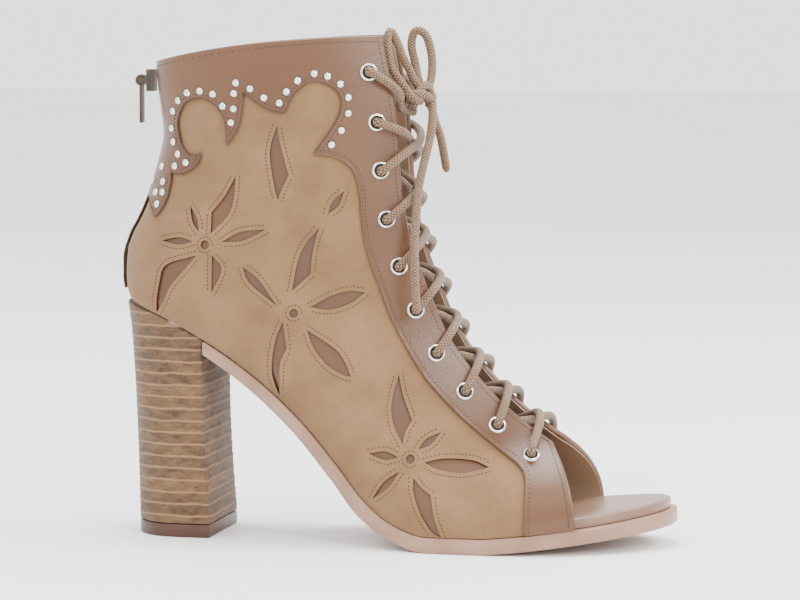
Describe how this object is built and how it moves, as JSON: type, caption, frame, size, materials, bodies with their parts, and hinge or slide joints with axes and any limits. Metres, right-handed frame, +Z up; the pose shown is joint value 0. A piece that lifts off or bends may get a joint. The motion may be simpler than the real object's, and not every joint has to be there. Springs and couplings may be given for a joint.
{
  "type": "ankle boot",
  "caption": "Lace-up ankle boot with an open toe, a stacked block heel, scalloped leather over suede, and a back zip.",
  "frame": {"origin": "on the ground, at the middle of the heel's top lift", "axes": "+X from heel to toe, +Y towards the inner side of the foot, +Z up"},
  "size_m": [0.232, 0.0835, 0.2091],
  "materials": {
    "suede": "matt nap, lightly mottled",
    "leather": "smooth, satin, rubbed light at the edges",
    "footbed": "smooth, satin",
    "sole": "smooth painted edge",
    "stack": "rough stacked layers, matt",
    "lift": "smooth, satin",
    "lace": "waxed round braid",
    "metal": "bright nickel"
  },
  "bodies": {
    "boot": {"outsole": "sole", "heel_block": "stack", "heel_top_lift": "lift", "insole": "footbed", "upper": "suede", "overlay_outer": "leather", "overlay_inner": "leather", "eyelet_outer_01": "metal", "eyelet_outer_02": "metal", "eyelet_outer_03": "metal", "eyelet_outer_04": "metal", "eyelet_outer_05": "metal", "eyelet_outer_06": "metal", "eyelet_outer_07": "metal", "eyelet_outer_08": "metal", "eyelet_outer_09": "metal", "eyelet_outer_10": "metal", "eyelet_inner_01": "metal", "eyelet_inner_02": "metal", "eyelet_inner_03": "metal", "eyelet_inner_04": "metal", "eyelet_inner_05": "metal", "eyelet_inner_06": "metal", "eyelet_inner_07": "metal", "eyelet_inner_08": "metal", "eyelet_inner_09": "metal", "eyelet_inner_10": "metal", "lace_cross_01": "lace", "lace_cross_02": "lace", "lace_cross_03": "lace", "lace_cross_04": "lace", "lace_cross_05": "lace", "lace_cross_06": "lace", "lace_cross_07": "lace", "lace_cross_08": "lace", "lace_bar": "lace", "lace_tie": "lace", "lace_knot": "lace", "lace_loop_outer": "lace", "lace_loop_inner": "lace", "lace_end_long": "lace", "lace_end_short": "lace", "zip_chain": "metal", "zip_slider": "metal"},
    "zip_pull": {"zip_pull": "metal"}
  },
  "joints": [
    {"name": "pull_hinge", "type": "hinge", "parent": "boot", "child": "zip_pull", "pos_m": [-0.01684, 0, 0.1869], "axis": [0, 1, 0], "range_deg": [-10, 150]}
  ]
}
